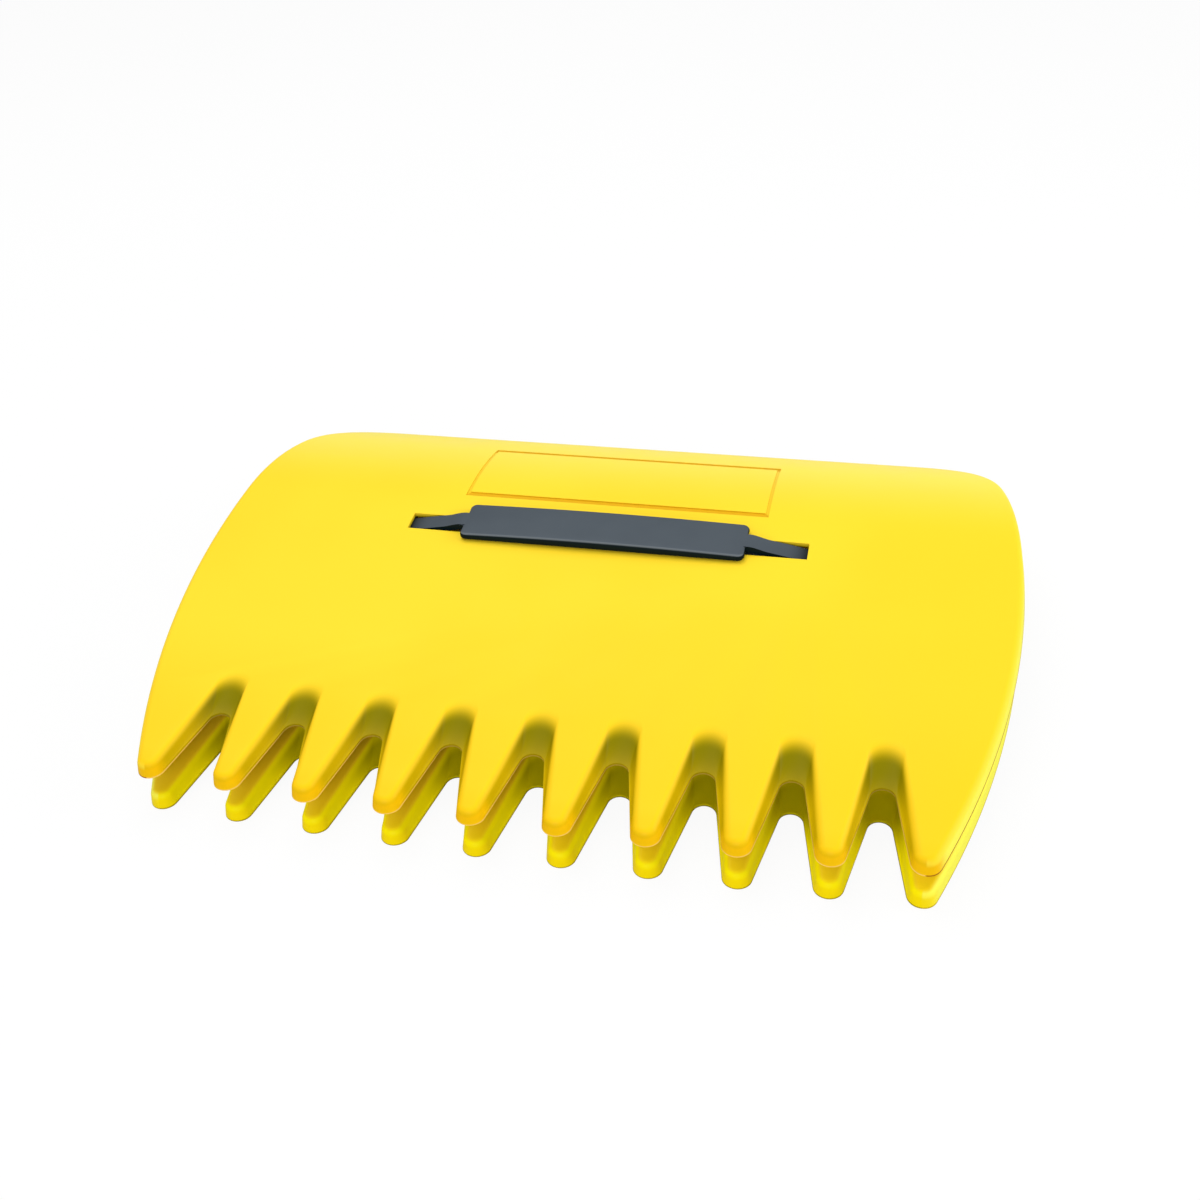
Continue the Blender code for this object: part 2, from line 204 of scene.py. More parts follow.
def bevel_where(piece, test, **settings):
    """Bevel the edges that pass a test, and those of the faces that the last bevel left selected."""
    for edge in piece.data.edges:
        edge.select = test(edge)
    bpy.ops.object.mode_set(mode="EDIT")
    bpy.ops.mesh.bevel(profile=0.5, affect="EDGES", **settings)
    object_mode()


def score(place, along):
    """Cut a line of edges across the piece in edit mode, where a plane meets it."""
    bpy.ops.mesh.select_all(action="SELECT")
    bpy.ops.mesh.bisect(plane_co=place, plane_no=along, threshold=MERGE)


def make_outward():
    """Turn every face of the piece in edit mode outward."""
    bpy.ops.mesh.select_all(action="SELECT")
    bpy.ops.mesh.normals_make_consistent(inside=False)


def apply_modifier(piece, kind, **settings):
    """Give a piece a modifier, apply it and leave the piece selected alone."""
    bpy.ops.object.select_all(action="DESELECT")
    bpy.context.view_layer.objects.active = piece
    piece.select_set(True)
    change = piece.modifiers.new(kind.lower(), kind)
    for name, value in settings.items():
        setattr(change, name, value)
    bpy.ops.object.modifier_apply(modifier=change.name)


def cut(piece, tool, operation="DIFFERENCE"):
    """Boolean a tool into a piece and delete the tool."""
    apply_modifier(piece, "BOOLEAN", operation=operation, solver="EXACT", object=tool)
    bpy.data.objects.remove(tool, do_unlink=True)


def box(low, high):
    """A box between two corners, in millimetres."""
    middle = (Vector(low) + Vector(high)) / 2 * MM
    size = (Vector(high) - Vector(low)) * MM
    bpy.ops.object.select_all(action="DESELECT")
    bpy.ops.mesh.primitive_cube_add(size=1.0, location=middle)
    made = bpy.context.object
    made.scale = size
    bpy.ops.object.transform_apply(location=True, rotation=True, scale=True)
    return made


def tray():
    """The moulding, flat: its top face's edge extruded down the skirt, round its rim and up inside."""
    stack = levels()
    count = len(edge_line(0.0, ROOT_RADIUS, 0.0))
    bpy.ops.object.select_all(action="DESELECT")
    bpy.ops.mesh.primitive_circle_add(vertices=count, radius=HALF_WIDTH * MM, fill_type="NGON")
    skin = bpy.context.object
    edit_mode(skin, "EDGE")
    bpy.ops.mesh.select_all(action="SELECT")
    for _ in stack[1:]:
        bpy.ops.mesh.extrude_edges_move(TRANSFORM_OT_translate={"value": (0, 0, -MM)})
    bpy.ops.mesh.edge_face_add()
    object_mode()
    verts = skin.data.vertices
    for i, (inset, radius, back, depth) in enumerate(stack):
        for j, (x, y) in enumerate(edge_line(inset, radius, back)):
            verts[i * count + j].co = (x * MM, y * MM, -depth * MM)
    edit_mode(skin)
    make_outward()
    object_mode()
    return skin


# The slot and the label's frame
# The slot that the strap is drawn through is moulded open. Behind it a plain frame is engraved for a
# label, and its field is left bare.
SLOT_LENGTH = 191.8
SLOT_WIDTH = 11.6
SLOT_AT = 172.0
FRAME_WIDTH = 149.8
FRAME_LENGTH = 55.8
FRAME_AT = 223.0
FRAME_SIDE_GROOVE = 1.6
FRAME_LINE_GROOVE = 3.2
FRAME_GROOVE_DEPTH = 0.5
# How much of the groove's painted shade its side lines get; the top and bottom lines get all of it.
SIDE_GROOVE_SHADE = 0.35
CUT_REACH = 20.0


def slab_across(length, width, centre, low, high):
    return box((-length / 2, centre - width / 2, low), (length / 2, centre + width / 2, high))


def flat_scoop():
    """The whole moulding before it is rolled."""
    sheet = tray()
    cut(sheet, slab_across(SLOT_LENGTH, SLOT_WIDTH, SLOT_AT, -CUT_REACH, CUT_REACH))
    groove = slab_across(FRAME_WIDTH, FRAME_LENGTH, FRAME_AT, -FRAME_GROOVE_DEPTH, CUT_REACH)
    inner = (FRAME_WIDTH - 2 * FRAME_SIDE_GROOVE, FRAME_LENGTH - 2 * FRAME_LINE_GROOVE)
    cut(groove, slab_across(*inner, FRAME_AT, -CUT_REACH, 2 * CUT_REACH))
    cut(sheet, groove)
    return sheet


# Rolling and standing
# The mould curves the back half of the sheet down. The scoop then stands on the tips of its teeth and
# on its back rim, so that the flat part tilts, and both are worn flat where they stand.

def formed(x, y, z):
    """Where a point of the flat sheet lies once its back is rolled down."""
    turn = max(0.0, y - ROLL_START) / ROLL_RADIUS
    out = ROLL_RADIUS + z
    return Vector((x, min(y, ROLL_START) + out * sin(turn), z - out * (1 - cos(turn))))


front_foot = formed(0, -SKIRT_DRAFT_RUN, -SKIRT_DEPTH)
back_foot = formed(0, SHEET_LENGTH + SKIRT_DRAFT_RUN, -SKIRT_DEPTH)
TILT = atan2(front_foot.z - back_foot.z, back_foot.y - front_foot.y)
RISE = -(front_foot.y * sin(TILT) + front_foot.z * cos(TILT)) - FOOT_LAND
lower_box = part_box("lower_scoop")
upper_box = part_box("upper_scoop")
nest = Vector(upper_box[0]) - Vector(lower_box[0])
front_edge = (Matrix.Rotation(TILT, 4, "X") @ front_foot).y
tips_back = tip_centre(TOOTH_COUNT // 2)[1] + SKIRT_DRAFT_RUN - TIP_RADIUS
origin_y = lower_box[0][1] / MM - front_edge
to_world = Matrix.Translation((0, origin_y, RISE)) @ Matrix.Rotation(TILT, 4, "X")


def rolled_scoop():
    """Score the moulding across, roll its back down and stand it in the lower scoop's place."""
    sheet = flat_scoop()
    steps = ceil((SHEET_LENGTH - ROLL_START) / ROLL_STEP)
    edit_mode(sheet)
    for i in range(steps + 1):
        y = ROLL_START + (SHEET_LENGTH - ROLL_START) * i / steps
        score((0, y * MM, 0), (0, 1, 0))
    object_mode()
    depth = sheet.data.attributes.new("depth", "FLOAT", "POINT")
    valley = sheet.data.attributes.new("valley", "FLOAT", "POINT")
    groove = sheet.data.attributes.new("groove", "FLOAT", "POINT")
    row_end = tip_centre(TOOTH_COUNT - 1)[0]
    for i, vertex in enumerate(sheet.data.vertices):
        x, y, z = vertex.co / MM
        depth.data[i].value = max(0.0, -z / SKIRT_DEPTH)
        valley.data[i].value = 1.0 if abs(x) < row_end and y < ROLL_START else 0.0
        # The groove attribute weights the painted shade in the engraved frame.
        engraved = y > SLOT_AT and abs(z + FRAME_GROOVE_DEPTH) < 0.01
        on_line = abs(y - FRAME_AT) > FRAME_LENGTH / 2 - FRAME_LINE_GROOVE - 0.1
        groove.data[i].value = (1.0 if on_line else SIDE_GROOVE_SHADE) if engraved else 0.0
    for vertex in sheet.data.vertices:
        place = to_world @ formed(*(vertex.co / MM))
        place.z = max(place.z, 0.0)
        vertex.co = place * MM
    bpy.ops.object.shade_smooth_by_angle(angle=radians(35))
    return sheet


def colour_mix(nodes, links, share, first, second):
    """A colour between two others; either may be a socket or a colour."""
    mix = nodes.new("ShaderNodeMix")
    mix.data_type = "RGBA"
    for socket, value in ((0, share), (6, first), (7, second)):
        if isinstance(value, bpy.types.NodeSocket):
            links.new(value, mix.inputs[socket])
        else:
            mix.inputs[socket].default_value = value
    return mix.outputs[2]


def band(nodes, links, value, low, high, out_low=0.0, out_high=1.0):
    """A smooth step of a value from one level to another."""
    step = nodes.new("ShaderNodeMapRange")
    step.interpolation_type = "SMOOTHSTEP"
    links.new(value, step.inputs["Value"])
    step.inputs["From Min"].default_value = low
    step.inputs["From Max"].default_value = high
    step.inputs["To Min"].default_value = out_low
    step.inputs["To Max"].default_value = out_high
    return step.outputs["Result"]


def noise(nodes, links, vector, scale, detail=2.0):
    texture = nodes.new("ShaderNodeTexNoise")
    texture.inputs["Scale"].default_value = scale
    texture.inputs["Detail"].default_value = detail
    links.new(vector, texture.inputs["Vector"])
    return texture.outputs["Fac"]


def product(nodes, links, first, second):
    multiply = nodes.new("ShaderNodeMath")
    multiply.operation = "MULTIPLY"
    links.new(first, multiply.inputs[0])
    if isinstance(second, bpy.types.NodeSocket):
        links.new(second, multiply.inputs[1])
    else:
        multiply.inputs[1].default_value = second
    return multiply.outputs[0]


SUN_YELLOW = (0.93, 0.665, 0.026, 1)
WARM_YELLOW = (0.93, 0.625, 0.020, 1)
# Painted reflection: the rolled rear is paler where the sheet curves away.
REAR_PAINTED_REFLECTION = (0.97, 0.81, 0.115, 1)
# Painted highlight on the skirt's side walls outside the teeth.
SIDE_PAINTED_HIGHLIGHT = (0.98, 0.93, 0.085, 1)
# Painted shade in the engraved frame's groove.
GROOVE_PAINTED_SHADE = (0.72, 0.36, 0.001, 1)
# One plastic, with the light and shade each sheet gets painted in. The entries are: teeth, painted bounce
# light warming the face near the teeth; wall, painted shade on the upper's flanks and painted light on the
# lower's; tip, painted shade on the tips; root, painted olive shade in the valleys' ends; tip_edge, a
# painted highlight on the upper's tip edges and painted shade on the lower's; root_edge and the side edge,
# painted shadow lines.
UPPER_PAINTED_SHADING = {
    "teeth": (0.93, 0.600, 0.014, 1),
    "wall": (0.62, 0.42, 0.0005, 1),
    "tip": (0.95, 0.55, 0.002, 1),
    "root": (0.225, 0.19, 0.0002, 1),
    "tip_edge": (0.98, 0.62, 0.120, 1),
    "root_edge": (0.19, 0.15, 0.006, 1),
    "side_edge_painted_shadow": (0.42, 0.15, 0.006, 1),
}
# The lower sheet's painted light and shade, set for where it lies under the upper sheet.
LOWER_PAINTED_SHADING = {
    "teeth": (0.90, 0.62, 0.0100, 1),
    "wall": (0.98, 0.84, 0.0008, 1),
    "tip": (1.0, 0.76, 0.001, 1),
    "root": (0.44, 0.38, 0.0005, 1),
    "tip_edge": (0.42, 0.32, 0.002, 1),
    "root_edge": (0.20, 0.16, 0.002, 1),
    "side_edge_painted_shadow": (0.60, 0.45, 0.010, 1),
}
# Each pair says where a tint of painted light and shade begins and where it is full: _BACK in metres
# behind the tooth tips, _DEPTH in shares of the skirt's depth.
TEETH_BACK = (0.090, 0.020)
TIP_BACK = (0.012, 0.001)
TIP_SHARE = 0.45
TIP_WALL_BACK = (0.010, 0.002)
TIP_WALL_DEPTH = (0.04, 0.50)
ROOT_BACK = (0.020, 0.046)
ROOT_DEPTH = (0.01, 0.45)
LOWER_WALL_DEPTH = (0.0, 0.12)
UPPER_WALL_DEPTH = (0.0, 0.45)
EDGE_DEPTH = (0.90, 0.94)
REAR_AT = (0.045, 0.130)
BLOTCH_SCALE = 7.0
YELLOW_SPECULAR = 0.05
YELLOW_ROUGHNESS = (0.36, 0.44)
YELLOW_SHEEN_SCALE = 60.0
YELLOW_PEEL = 0.25
PEEL_SCALE = 1400.0
PEEL_DEPTH = 0.00004


def attribute(nodes, name):
    node = nodes.new("ShaderNodeAttribute")
    node.attribute_name = name
    return node.outputs["Fac"]


def peel(nodes, links, place, scale, strength):
    """A fine moulded grain in the surface, as a bumped normal."""
    bump = nodes.new("ShaderNodeBump")
    bump.inputs["Strength"].default_value = strength
    bump.inputs["Distance"].default_value = PEEL_DEPTH
    links.new(noise(nodes, links, place, scale), bump.inputs["Height"])
    return bump.outputs["Normal"]


def yellow_plastic(name, painted_shading, wall_depth):
    """Glossy yellow with painted light and shade: golden down the walls (painted shade on the upper sheet,
    painted light on the lower), olive painted shade in the valleys' ends, warmer on the teeth's tips as
    painted shade, warmer near the teeth as painted bounce light, painted highlights on the side walls and
    rolled rear, painted shade in the frame's groove and painted lines along the cut edges.
    """
    material = bpy.data.materials.new(name)
    material.use_nodes = True
    nodes = material.node_tree.nodes
    links = material.node_tree.links
    shader = nodes["Principled BSDF"]
    place = nodes.new("ShaderNodeTexCoord").outputs["Object"]
    split = nodes.new("ShaderNodeSeparateXYZ")
    links.new(place, split.inputs[0])
    back = split.outputs["Y"]
    down = attribute(nodes, "depth")
    between_teeth = attribute(nodes, "valley")
    tip = (tips_back + origin_y) * MM

    def behind_tips(start, full):
        return band(nodes, links, back, tip + start, tip + full)

    def tinted(share, colour, tint):
        return colour_mix(nodes, links, share, colour, tint)

    blotch = band(nodes, links, noise(nodes, links, place, BLOTCH_SCALE), 0.35, 0.65)
    face = tinted(blotch, SUN_YELLOW, WARM_YELLOW)
    # Painted bounce light warming the face towards the teeth.
    face = tinted(behind_tips(*TEETH_BACK), face, painted_shading["teeth"])
    # Painted shade warming the tips' top face.
    face = tinted(product(nodes, links, behind_tips(*TIP_BACK), TIP_SHARE), face, painted_shading["tip"])
    # Painted reflection paling the rolled rear.
    face = tinted(band(nodes, links, back, *REAR_AT), face, REAR_PAINTED_REFLECTION)
    # Painted shade in the frame's groove.
    face = tinted(attribute(nodes, "groove"), face, GROOVE_PAINTED_SHADE)
    # Painted highlight on the side walls; between the teeth the walls take the wall tint instead.
    side = tinted(between_teeth, SIDE_PAINTED_HIGHLIGHT, painted_shading["wall"])
    # Painted shade down the upper sheet's walls and painted light down the lower's.
    colour = tinted(band(nodes, links, down, *wall_depth), face, side)
    # Painted olive shade in the valleys' ends.
    rearward = behind_tips(*ROOT_BACK)
    root_painted_shade = product(nodes, links, band(nodes, links, down, *ROOT_DEPTH), rearward)
    colour = tinted(product(nodes, links, root_painted_shade, between_teeth), colour, painted_shading["root"])
    # Painted shade on the tips' end walls.
    tip_wall_painted_shade = band(nodes, links, down, *TIP_WALL_DEPTH)
    colour = tinted(product(nodes, links, tip_wall_painted_shade, behind_tips(*TIP_WALL_BACK)), colour, painted_shading["tip"])
    # Painted lines along the cut edges: a highlight on the upper's tips, shade on the lower's, and shadow
    # under the roots and along the sides.
    tooth_edge_painted_lines = tinted(rearward, painted_shading["tip_edge"], painted_shading["root_edge"])
    edge = tinted(between_teeth, painted_shading["side_edge_painted_shadow"], tooth_edge_painted_lines)
    colour = tinted(band(nodes, links, down, *EDGE_DEPTH), colour, edge)
    links.new(colour, shader.inputs["Base Color"])
    sheen = band(nodes, links, noise(nodes, links, place, YELLOW_SHEEN_SCALE), 0.3, 0.7, *YELLOW_ROUGHNESS)
    links.new(sheen, shader.inputs["Roughness"])
    shader.inputs["Specular IOR Level"].default_value = YELLOW_SPECULAR
    links.new(peel(nodes, links, place, PEEL_SCALE, YELLOW_PEEL), shader.inputs["Normal"])
    return material


def copy_of(piece, name, shift):
    """A copy with its own mesh, moved by a vector, its object still at the origin."""
    twin = piece.copy()
    twin.data = piece.data.copy()
    twin.data.transform(Matrix.Translation(shift))
    twin.name = name
    bpy.context.collection.objects.link(twin)
    return twin


lower_sheet = rolled_scoop()
lower_sheet.name = "lower_sheet"
upper_sheet = copy_of(lower_sheet, "upper_sheet", nest)
# Each sheet gets its own painted light and shade.
for sheet, scoop, painted_shading, wall_depth in (
    (lower_sheet, "lower_scoop", LOWER_PAINTED_SHADING, LOWER_WALL_DEPTH),
    (upper_sheet, "upper_scoop", UPPER_PAINTED_SHADING, UPPER_WALL_DEPTH),
):
    sheet.data.materials.clear()
    sheet.data.materials.append(yellow_plastic(sheet.name + "_plastic", painted_shading, wall_depth))
    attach(sheet, scoop)
    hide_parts(scoop)

# The grips
# The middle of each strap is a wide slate-grey grip, flat below and gently arched above, with rounded
# corners and a hollow at each end where the neck bends.
GRIP_LENGTH = 137.0
GRIP_WIDTH = 24.0
GRIP_END_THICKNESS = 3.4
GRIP_CROWN = 1.2
GRIP_CORNER = 3.0
GRIP_EDGE = 1.3
NECK_WIDTH = 9.0
NECK_THICKNESS = 2.5
KNUCKLE_SETBACK = 0.8
HINGE_X = GRIP_LENGTH / 2
GRIP_SLICES = 24


def crown_rise(x):
    """How much the grip's arched top rises above its ends."""
    radius = (HINGE_X ** 2 + GRIP_CROWN ** 2) / (2 * GRIP_CROWN)
    return sqrt(radius ** 2 - x ** 2) - (radius - GRIP_CROWN)


def grip():
    """One grip, level, about the middle of the line between its hinges."""
    reach = HINGE_X - KNUCKLE_SETBACK
    below = -GRIP_END_THICKNESS / 2
    made = box((-reach, -GRIP_WIDTH / 2, below), (reach, GRIP_WIDTH / 2, -below))

    def upright(edge):
        a, b = (made.data.vertices[i].co for i in edge.vertices)
        return abs(a.z - b.z) > 0.01 * MM

    edit_mode(made, "EDGE")
    object_mode()
    bevel_where(made, upright, offset=GRIP_CORNER * MM, segments=8)
    bevel_where(made, lambda edge: not upright(edge), offset=GRIP_EDGE * MM, segments=5)
    for side in (-1, 1):
        bpy.ops.object.select_all(action="DESELECT")
        bpy.ops.mesh.primitive_cylinder_add(
            vertices=48,
            radius=(NECK_THICKNESS / 2 + CLEARANCE) * MM,
            depth=(NECK_WIDTH + 2 * CLEARANCE) * MM,
            location=(side * HINGE_X * MM, 0, 0),
            rotation=(pi / 2, 0, 0),
        )
        cut(made, bpy.context.object)
    edit_mode(made)
    for i in range(1, GRIP_SLICES):
        x = -reach + 2 * reach * i / GRIP_SLICES
        score((x * MM, 0, 0), (1, 0, 0))
    object_mode()
    for vertex in made.data.vertices:
        share = (vertex.co.z / MM - below) / GRIP_END_THICKNESS
        vertex.co.z += share * crown_rise(vertex.co.x / MM) * MM
    bpy.ops.object.shade_smooth_by_angle(angle=radians(40))
    return made


SLATE = (0.070, 0.086, 0.102, 1)
SLATE_DARK = (0.061, 0.075, 0.090, 1)
# Painted highlight on the grip's front ridge.
SLATE_RIDGE_HIGHLIGHT = (0.120, 0.140, 0.160, 1)
# Painted shade on the grip's sides.
SLATE_SIDE_SHADE = (0.002, 0.008, 0.012, 1)
# Painted shade where a neck sinks into its slot.
SLATE_SUNK_SHADE = (0.010, 0.016, 0.022, 1)
RIDGE_FACING_Y = (-0.18, -0.40)
TOP_FACING_Z = (0.35, 0.70)
PATCH_SCALE = 25.0
SLATE_SPECULAR = 0.06
SLATE_ROUGHNESS = (0.42, 0.52)
SLATE_SHEEN_SCALE = 120.0
SLATE_PEEL = 0.35


def slate_plastic():
    """Satin slate grey with a fine moulded grain, a painted highlight on the front ridge, and painted
    shade on the sides and where a neck sinks into its slot."""
    material = bpy.data.materials.new("slate_plastic")
    material.use_nodes = True
    nodes = material.node_tree.nodes
    links = material.node_tree.links
    shader = nodes["Principled BSDF"]
    place = nodes.new("ShaderNodeTexCoord").outputs["Object"]
    patch = band(nodes, links, noise(nodes, links, place, PATCH_SCALE), 0.3, 0.7)
    top = colour_mix(nodes, links, patch, SLATE, SLATE_DARK)
    facing = nodes.new("ShaderNodeSeparateXYZ")
    links.new(nodes.new("ShaderNodeNewGeometry").outputs["Normal"], facing.inputs[0])
    # Painted highlight on faces turned to the front.
    ridge = band(nodes, links, facing.outputs["Y"], *RIDGE_FACING_Y)
    top = colour_mix(nodes, links, ridge, top, SLATE_RIDGE_HIGHLIGHT)
    # Painted shade towards the neck's anchor end.
    top = colour_mix(nodes, links, attribute(nodes, "sunk_shade"), top, SLATE_SUNK_SHADE)
    # Painted shade on faces turned away from up.
    upward = band(nodes, links, facing.outputs["Z"], *TOP_FACING_Z)
    links.new(colour_mix(nodes, links, upward, SLATE_SIDE_SHADE, top), shader.inputs["Base Color"])
    sheen = band(nodes, links, noise(nodes, links, place, SLATE_SHEEN_SCALE), 0.3, 0.7, *SLATE_ROUGHNESS)
    links.new(sheen, shader.inputs["Roughness"])
    shader.inputs["Specular IOR Level"].default_value = SLATE_SPECULAR
    links.new(peel(nodes, links, place, 2 * PEEL_SCALE, SLATE_PEEL), shader.inputs["Normal"])
    return material


slate = slate_plastic()
STRAP_BOW = 12.1
GRIP_REST = CLEARANCE + GRIP_END_THICKNESS / 2


def grip_place(scoop, lift):
    """Matrix that lays a level grip over its scoop's slot, in metres."""
    offset = nest / MM if scoop == "upper" else Vector((0, 0, 0))
    place = Matrix.Translation(offset) @ to_world @ Matrix.Translation((0, SLOT_AT, GRIP_REST + lift))
    return Matrix.Translation(place.translation * MM) @ Matrix.Rotation(TILT, 4, "X")


lifts = {"lower": STRAP_BOW, "upper": 0.0}
lower_grip = grip()
lower_grip.name = "lower_strap_grip"
lower_grip.data.materials.clear()
lower_grip.data.materials.append(slate)
upper_grip = copy_of(lower_grip, "upper_strap_grip", (0, 0, 0))
for piece, scoop in ((lower_grip, "lower"), (upper_grip, "upper")):
    piece.data.transform(grip_place(scoop, lifts[scoop]))
    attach(piece, scoop + "_grip")
    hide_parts(scoop + "_grip")

# The straps' ends
# A narrow neck runs from each end of the grip down through the slot and bends into a wider anchor
# that bears on the sheet's underside. Neck and anchor are part of the strap's moulding.
NECK_REACH = 27.4
ANCHOR_LENGTH = 9.0
ANCHOR_WIDTH = 20.0
ANCHOR_DROP = WALL + CLEARANCE + NECK_THICKNESS / 2
NECK_LENGTH = hypot(NECK_REACH, GRIP_REST + ANCHOR_DROP)
FLUSH = 0.04
LAP = 0.005
TONGUE_INSIDE = 3.2
TONGUE_RUN = 9.5
TONGUE_STEPS = 10
TONGUE_THICKNESS = 0.3
SUNK_RUN = 12.0
SUNK_STEPS = 8
BEND_FROM = -0.5
BEND_TO = 5.0


def neck_angle(lift):
    """How far a neck dips below level when its grip stands this far above its lowest place."""
    return asin((GRIP_REST + ANCHOR_DROP + lift) / NECK_LENGTH)


def strap_end():
    """A right-hand neck and anchor, the neck level and its hinge line at the origin."""
    half = NECK_THICKNESS / 2
    bend = neck_angle(0.0)
    made = box((-half, -NECK_WIDTH / 2, -half), (NECK_LENGTH, NECK_WIDTH / 2, half))

    def knuckle(edge):
        a, b = (made.data.vertices[i].co for i in edge.vertices)
        return a.x < 0 and b.x < 0 and abs(a.y - b.y) > 0.01 * MM

    edit_mode(made, "EDGE")
    object_mode()
    bevel_where(made, knuckle, offset=0.98 * half * MM, segments=8)
    turn_in = half * sin(bend) / (1 + cos(bend))
    for vertex in made.data.vertices:
        if vertex.co.x > (NECK_LENGTH - 0.1) * MM:
            vertex.co.x += (-turn_in if vertex.co.z > 0 else turn_in) * MM
    anchor = box((0, -ANCHOR_WIDTH / 2, -half), (ANCHOR_LENGTH, ANCHOR_WIDTH / 2, half))
    link = box((0, -NECK_WIDTH / 2, -half), (ANCHOR_LENGTH / 2, NECK_WIDTH / 2, half))
    for vertex in link.data.vertices:
        if vertex.co.x < 1e-6:
            vertex.co.x += (-turn_in if vertex.co.z < 0 else turn_in) * MM
    at_end = Matrix.Translation((NECK_LENGTH * MM, 0, 0)) @ Matrix.Rotation(-bend, 4, "Y")
    for slab in (anchor, link):
        slab.data.transform(at_end)
    cut(anchor, link, "UNION")
    cut(made, anchor, "UNION")
    edit_mode(made)
    for i in range(1, SUNK_STEPS):
        x = NECK_LENGTH - SUNK_RUN * i / SUNK_STEPS
        score((x * MM, 0, 0), (1, 0, 0))
    bpy.ops.mesh.select_all(action="SELECT")
    bpy.ops.mesh.remove_doubles(threshold=MERGE)
    bpy.ops.mesh.dissolve_degenerate(threshold=MERGE)
    object_mode()
    bpy.ops.object.shade_smooth_by_angle(angle=radians(40))
    return made


def tongue():
    """The top of a neck where it leaves the grip flush and dips to its slope, on a flat strap."""
    half = NECK_THICKNESS / 2
    dip = neck_angle(0.0)
    flush = GRIP_END_THICKNESS / 2 + FLUSH
    slope = TONGUE_RUN * tan(dip)
    low = half / cos(dip) - slope - LAP
    top = [(-TONGUE_INSIDE, flush)]
    for i in range(TONGUE_STEPS + 1):
        share = i / TONGUE_STEPS
        fall = (3 - 2 * share) * share ** 2 * (flush - low) + (share ** 3 - share ** 2) * slope
        top.append((TONGUE_RUN * share, flush - fall))
    profile = top + [
        (TONGUE_RUN, low - 2 * TONGUE_THICKNESS),
        (0.8, flush - 3 * TONGUE_THICKNESS),
        (-0.6, flush - TONGUE_THICKNESS),
        (-TONGUE_INSIDE, flush - TONGUE_THICKNESS),
    ]
    bpy.ops.object.select_all(action="DESELECT")
    bpy.ops.mesh.primitive_circle_add(vertices=len(profile), radius=MM, fill_type="NGON")
    made = bpy.context.object
    for vertex, (x, z) in zip(made.data.vertices, profile):
        vertex.co = (x * MM, -NECK_WIDTH / 2 * MM, z * MM)
    edit_mode(made, "FACE")
    bpy.ops.mesh.select_all(action="SELECT")
    bpy.ops.mesh.extrude_region_move(TRANSFORM_OT_translate={"value": (0, NECK_WIDTH * MM, 0)})
    make_outward()
    object_mode()
    return made


right_end = strap_end()
right_end.data.materials.clear()
right_end.data.materials.append(slate)
for scoop in ("lower", "upper"):
    for side, word in ((-1, "left"), (1, "right")):
        name = scoop + "_strap_" + word
        end = copy_of(right_end, name + "_end", (0, 0, 0))
        dip = neck_angle(lifts[scoop])
        end.data.transform(Matrix.Rotation(dip, 4, "Y"))
        if scoop == "upper":
            cut(end, tongue(), "UNION")
            bpy.ops.object.shade_smooth_by_angle(angle=radians(40))
        # Painted shade weight: it grows along the neck towards the anchor, where the neck sinks into the
        # slot.
        sunk_shade = end.data.attributes.new("sunk_shade", "FLOAT", "POINT")
        for i, vertex in enumerate(end.data.vertices):
            along = (vertex.co.x * cos(dip) - vertex.co.z * sin(dip)) / MM
            share = 1 - (NECK_LENGTH - along) / SUNK_RUN
            sunk_shade.data[i].value = min(1.0, max(0.0, share)) ** 2
        if side < 0:
            end.data.transform(Matrix.Diagonal((-1, 1, 1, 1)))
            end.data.flip_normals()
        hinge = grip_place(scoop, lifts[scoop]) @ Matrix.Translation((side * HINGE_X * MM, 0, 0))
        end.data.transform(hinge)
        if scoop == "upper":
            bend_ends = (hinge @ Vector((side * x * MM, 0, 0)) for x in (BEND_FROM, BEND_TO))
            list(bend_ends)
            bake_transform(end)
        else:
            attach(end, name)
        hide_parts(name)
bpy.data.objects.remove(right_end, do_unlink=True)

# The studio
# A white floor under a soft, even light, with the camera above and in front of the teeth. The camera
# sees the paper as it was exposed, near white; what it throws back at the piece is duller.
FLOOR_SIZE = 12.0
PAPER_SEEN = (0.90, 0.90, 0.90, 1)
PAPER_BOUNCE = (0.42, 0.42, 0.42, 1)
FLOOR_GLOW = 0.93
FLOOR_DROP = 0.0002
SKY_STRENGTH = 0.50

bpy.ops.object.select_all(action="DESELECT")
bpy.ops.mesh.primitive_plane_add(size=FLOOR_SIZE, location=(0, 0, -FLOOR_DROP))
floor = bpy.context.object
floor.name = "studio_floor"
paper = bpy.data.materials.new("studio_paper")
paper.use_nodes = True
tree = paper.node_tree
base = tree.nodes["Principled BSDF"]
base.inputs["Roughness"].default_value = 0.9
glow = tree.nodes.new("ShaderNodeEmission")
seen = tree.nodes.new("ShaderNodeLightPath").outputs["Is Camera Ray"]
white = colour_mix(tree.nodes, tree.links, seen, PAPER_BOUNCE, PAPER_SEEN)
tree.links.new(white, base.inputs["Base Color"])
blend = tree.nodes.new("ShaderNodeMixShader")
tree.links.new(product(tree.nodes, tree.links, seen, FLOOR_GLOW), blend.inputs[0])
tree.links.new(base.outputs[0], blend.inputs[1])
tree.links.new(glow.outputs[0], blend.inputs[2])
tree.links.new(blend.outputs[0], tree.nodes["Material Output"].inputs[0])
floor.data.materials.append(paper)

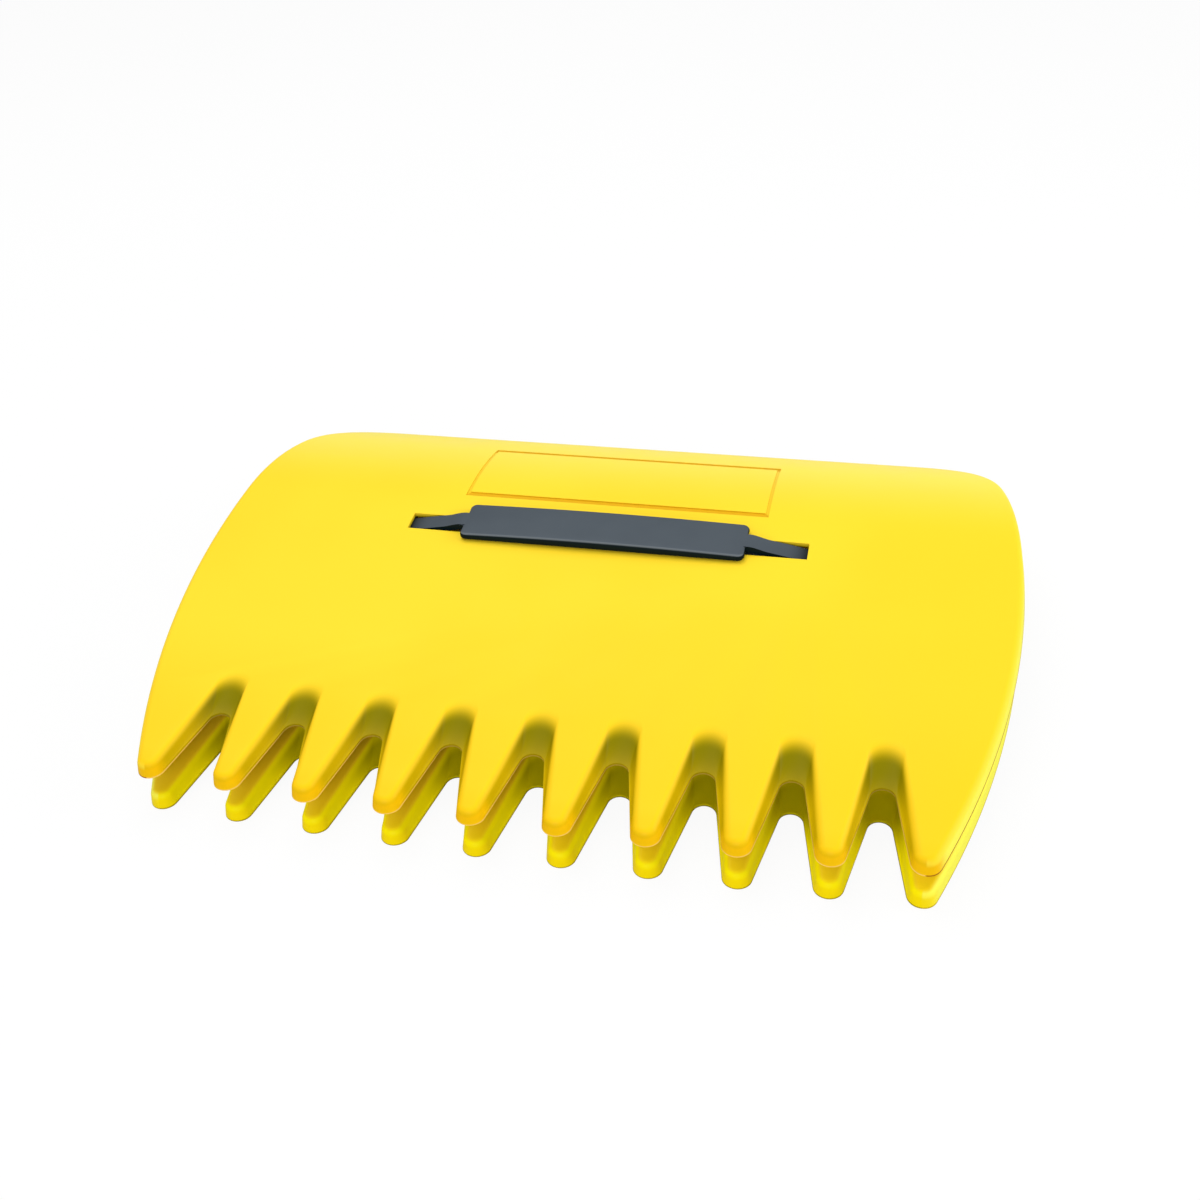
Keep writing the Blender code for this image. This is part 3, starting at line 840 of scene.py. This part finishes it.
world = bpy.data.worlds.new("studio_world")
bpy.context.scene.world = world
world.use_nodes = True
sky = world.node_tree
dome = sky.nodes["Background"]
dome.inputs["Strength"].default_value = SKY_STRENGTH
backdrop = sky.nodes.new("ShaderNodeBackground")
backdrop.inputs["Strength"].default_value = 1.0
path = sky.nodes.new("ShaderNodeLightPath")
choose = sky.nodes.new("ShaderNodeMixShader")
sky.links.new(path.outputs["Is Camera Ray"], choose.inputs[0])
sky.links.new(dome.outputs[0], choose.inputs[1])
sky.links.new(backdrop.outputs[0], choose.inputs[2])
sky.links.new(choose.outputs[0], sky.nodes["World Output"].inputs[0])
for light in (dome, backdrop):
    light.inputs["Color"].default_value = (1, 1, 1, 1)

LAMPS = (
    ("overhead_softbox", (-0.35, 0.35, 1.30), 1.2, 10.8),
    ("right_softbox", (1.20, 0.25, 0.50), 0.8, 8.0),
    ("front_softbox", (0.10, -1.40, 0.55), 0.9, 9.5),
)
for name, place, size, watts in LAMPS:
    lamp = bpy.data.lights.new(name, "AREA")
    lamp.shape = "SQUARE"
    lamp.size = size
    lamp.energy = watts
    holder = bpy.data.objects.new(name, lamp)
    holder.location = place
    holder.rotation_euler = (-Vector(place)).to_track_quat("-Z", "Y").to_euler()
    bpy.context.collection.objects.link(holder)

# Camera: its place and turn are taken from the upper sheet's flat face, as x across, y back from its
# tooth tips and z out of the face.
VIEW_FROM = Vector((132.93, -312.2, 397.68))
VIEW_TURN = Euler((0.85157, 0.072214, 0.21404))
FOCAL_LENGTH = 40.7
camera_data = bpy.data.cameras.new("photo_camera")
camera_data.sensor_width = 36.0
camera_data.lens = FOCAL_LENGTH
camera = bpy.data.objects.new("photo_camera", camera_data)
bpy.context.collection.objects.link(camera)
on_face = Matrix.Translation(nest / MM) @ to_world
camera.location = (on_face @ VIEW_FROM) * MM
camera.rotation_euler = (Matrix.Rotation(TILT, 3, "X") @ VIEW_TURN.to_matrix()).to_euler()
bpy.context.scene.camera = camera
bpy.context.scene.view_settings.view_transform = "Standard"
